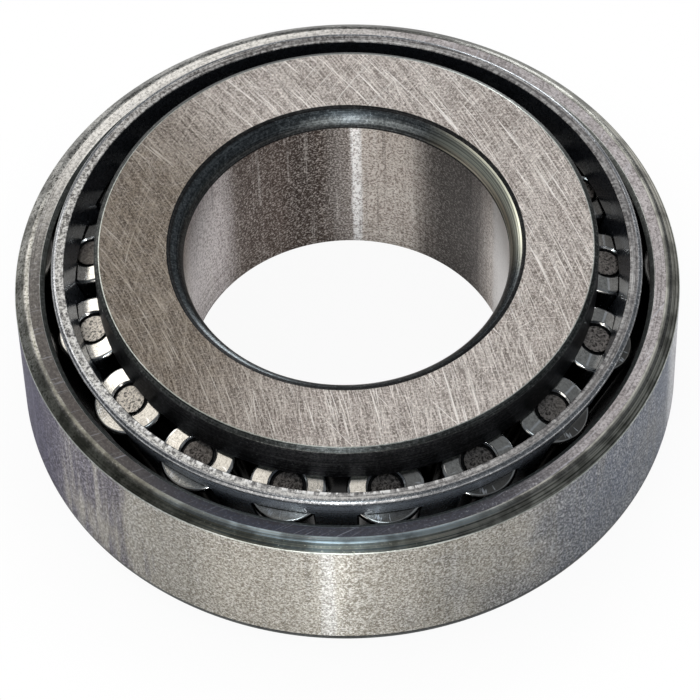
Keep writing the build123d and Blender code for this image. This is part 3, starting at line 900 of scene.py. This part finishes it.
# A roller: its outline (radius, distance from the apex) turned about its own axis, which leans out
# from the shared apex at that roller's angle round the bearing.
def makeRollers():
    g, large, small = roller, cones["largeEnd"], cones["smallEnd"]
    crown = g["crownShare"] * large
    edgeDrop = crown - math.sqrt(crown**2 - rollerRadius(large)**2)
    lipDrop = crown - math.sqrt(crown**2 - g["recessRadius"]**2)
    floor = g["recessRadius"] - g["recessDraft"]
    high = large - g["recessDepth"]
    # the groove finish paints the scribed ring, the recess wall and the groove round the floor near black:
    # painted shade
    outline, finishes = roundedOutline([
        (0, small + g["recessDepth"], 0, "recess"),
        (floor, small + g["recessDepth"], g["footRounding"], "groove"),
        (g["recessRadius"], small, g["footEdge"], "end"),
        (rollerRadius(small), small, g["corner"], "rolling", "rolling"),
        (rollerRadius(large - edgeDrop), large - edgeDrop, g["corner"], "end", "rolling"),
        (g["recessRadius"] + g["lip"] + g["scribe"], large - lipDrop, g["scribeEdge"], "groove"),
        (g["recessRadius"] + g["lip"], large - lipDrop, g["scribeEdge"], "rolling"),
        (g["recessRadius"], large - lipDrop - g["lip"], g["lipEdge"], "groove"),
        (floor, high - g["grooveDepth"], g["grooveEdge"], "groove"),
        (floor - g["grooveWidth"], high - g["grooveDepth"], g["grooveEdge"], "groove"),
        (floor - g["grooveWidth"], high, g["floorEdge"], "recess"),
        (0, high, 0, "recess"),
    ], closed=False)
    steps, n = g["steps"], len(outline)
    t = np.arange(steps) * 2 * math.pi / steps
    body = outline[1:-1]
    local = np.stack([body[:, :1] * np.cos(t), body[:, :1] * np.sin(t), np.repeat(body[:, 1:], steps, 1)],
                     2).reshape(-1, 3)
    local = np.concatenate([local, [[0, 0, outline[0, 1]], [0, 0, outline[-1, 1]]]])
    i, j = np.meshgrid(np.arange(n - 3), np.arange(steps), indexing="ij")
    m = (j + 1) % steps
    quads = np.stack([i * steps + j, i * steps + m, (i + 1) * steps + m, (i + 1) * steps + j], 2)
    quads = quads.reshape(-1, 4)
    # the two middles are the last two points, each joined to the nearest ring by triangles
    edge, last = np.arange(steps), (n - 3) * steps
    after = (edge + 1) % steps
    tris = np.concatenate([np.stack([np.full(steps, len(local) - 2), after, edge], 1),
                           np.stack([np.full(steps, len(local) - 1), last + edge, last + after], 1)])
    finish = list(np.repeat(finishes[1:-1], steps)) + ["recess"] * (2 * steps)
    fromMiddle = local - [0, 0, (large + small) / 2]
    s, c = math.sin(cones["tilt"]), math.cos(cones["tilt"])
    for k, name in enumerate(rollerNames):
        turn = 2 * math.pi * k / bearing["rollerCount"]
        across = np.array([c * math.cos(turn), c * math.sin(turn), -s])
        along = np.array([s * math.cos(turn), s * math.sin(turn), c])
        points = (local[:, :1] * across + local[:, 1:2] * np.cross(along, across) + local[:, 2:] * along
                  + [0, 0, cones["apex"]])
        piece = meshFrom(f"taperRoller{k + 1:02d}", points, quads, tris, finish, materials)
        place = piece.data.attributes.new("place", "FLOAT_VECTOR", "POINT")
        place.data.foreach_set("vector", fromMiddle.astype(np.float32).ravel())
        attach(piece, name)
        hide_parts(name)


makeRollers()
print("rollers turned:", len(rollerNames))

# The floor, the world and the height at which the lamps aim, in metres.
studio = dict(
    floorRadius=4.0, floorSides=64, floorWhite=0.86, floorBlue=1.01,
    worldLevel=0.2, worldColour=(0.86, 0.93, 1, 1), lampAim=0.01,
    # the floor's own white: from and to that far out, share of it there
    cameraGlow=(0.032, 0.05, 0.94, 1.0),
    mirrorGlow=(0.03, 0.10, 0.12, 0.85),
    holeGlow=(0.018, 0.012, 0.0, 0.65),       # under the bore
)


# The floor's own white takes over from its lit paint with distance, for the camera and for mirrors.
def floorPaint():
    f = Nodes("paleFloor")
    f.tree.nodes.clear()
    out = f.node("ShaderNodeVectorMath", {"operation": "LENGTH"}, {0: f.place()}, out="Value")
    out = out * millimetre

    def glow(inner, outer, low, high):
        return out.step(inner, outer) * (high - low) + low

    direct = f.node("ShaderNodeLightPath", {}, {}, out="Is Camera Ray")
    mirror = (f.node("ShaderNodeLightPath", {}, {}, out="Is Glossy Ray")
              + f.node("ShaderNodeLightPath", {}, {}, out="Is Transmission Ray"))
    share = (direct * glow(*studio["cameraGlow"])
             + mirror * (glow(*studio["mirrorGlow"]) + glow(*studio["holeGlow"])))
    white = studio["floorWhite"]
    paint = f.node("ShaderNodeBsdfDiffuse", {}, {"Color": (white, white, white * studio["floorBlue"], 1)})
    shine = f.node("ShaderNodeEmission", {}, {"Color": (1, 1, 1, 1)})
    both = f.node("ShaderNodeMixShader", {}, {0: share, 1: paint, 2: shine})
    f.node("ShaderNodeOutputMaterial", {}, {0: both}, out=None)
    return f.material


# A flat disc under the bearing.
def makeFloor():
    sides = studio["floorSides"]
    t = np.arange(sides) * 2 * math.pi / sides
    mesh = bpy.data.meshes.new("paleFloor")
    rim = np.stack([np.cos(t), np.sin(t), np.zeros(sides)], 1) * studio["floorRadius"]
    mesh.from_pydata([tuple(p) for p in rim], [], [list(range(sides))])
    floor = bpy.data.objects.new("paleFloor", mesh)
    bpy.context.scene.collection.objects.link(floor)
    mesh.materials.append(floorPaint())


# An area light at an azimuth and elevation seen from the bearing, facing it; its power follows from
# the brightness of its face, which is brightness times pi times its area.
def softbox(name, azimuth, elevation, distance, width, height, brightness, colour):
    a, e = math.radians(azimuth), math.radians(elevation)
    towards = Vector((math.sin(a) * math.cos(e), -math.cos(a) * math.cos(e), math.sin(e)))
    light = bpy.data.lights.new(name, "AREA")
    light.shape, light.size, light.size_y = "RECTANGLE", width, height
    light.energy = brightness * math.pi * width * height
    light.color = colour
    lamp = bpy.data.objects.new(name, light)
    lamp.location = towards * distance + Vector((0, 0, studio["lampAim"]))
    lamp.rotation_euler = (-towards).to_track_quat("-Z", "Y").to_euler()
    lamp.visible_camera = False
    bpy.context.scene.collection.objects.link(lamp)


# name, azimuth, elevation, distance, width, height, brightness of its face, colour
lamps = [
    ("backSoftbox", 172, 52, 1.2, 0.9, 0.8, 0.99, (1, 1, 1)),
    ("backLeftSoftbox", -139, 38, 1.2, 0.4, 0.8, 2.1, (1, 0.98, 0.94)),
    ("backRightSoftbox", 161, 12, 1.2, 0.3, 0.4, 7.0, (0.95, 0.98, 1)),
    ("frontLeftSoftbox", -13, 18, 1.0, 1.15, 0.65, 1.9, (1, 0.96, 0.9)),
    ("frontHighSoftbox", -8, 57, 1.1, 0.3, 0.35, 1.8, (0.8, 0.93, 1)),
    ("frontStrip", -7, 27, 1.0, 0.02, 0.95, 42.0, (0.93, 0.97, 1)),
    ("leftHighSoftbox", -118, 70, 1.2, 0.38, 0.88, 1.05, (1, 0.95, 0.88)),
]


# The world's even light and the lamps.
def makeLight():
    world = bpy.data.worlds.new("studio")
    world.use_nodes = True
    sky = world.node_tree.nodes["Background"]
    sky.inputs["Color"].default_value = studio["worldColour"]
    sky.inputs["Strength"].default_value = studio["worldLevel"]
    bpy.context.scene.world = world
    for lamp in lamps:
        softbox(*lamp)


# Camera by where it stands: turned round the bearing by the view's azimuth and elevation from a point
# on the axis, aimed a little below that point, and rolled.
camera = dict(azimuth=-1.75, elevation=52.79, distance=0.47409, height=0.016528, below=0.00738,
              right=0.0003, roll=1.67, lens=237.29, sensor=36, near=0.01, far=20)


def makeCamera():
    a, e, roll = (math.radians(camera[k]) for k in ("azimuth", "elevation", "roll"))
    back = Vector((math.sin(a) * math.cos(e), -math.cos(a) * math.cos(e), math.sin(e)))
    flatRight = Vector((math.cos(a), math.sin(a), 0))
    flatUp = back.cross(flatRight)
    right = flatRight * math.cos(roll) - flatUp * math.sin(roll)
    up = flatRight * math.sin(roll) + flatUp * math.cos(roll)
    spot = Vector((0, 0, camera["height"]))
    place = spot + back * camera["distance"]
    aim = spot - up * camera["below"] + right * camera["right"]
    axis = (place - aim).normalized()
    right = up.cross(axis).normalized()
    up = axis.cross(right)
    lens = bpy.data.cameras.new("camera")
    lens.lens, lens.sensor_width = camera["lens"], camera["sensor"]
    lens.clip_start, lens.clip_end = camera["near"], camera["far"]
    seen = bpy.data.objects.new("camera", lens)
    bpy.context.scene.collection.objects.link(seen)
    seen.matrix_world = Matrix.Translation(place) @ Matrix((right, up, axis)).transposed().to_4x4()
    bpy.context.scene.camera = seen


makeFloor()
makeLight()
makeCamera()
bpy.context.scene.view_settings.view_transform = "Standard"
print("floor, light and camera set")
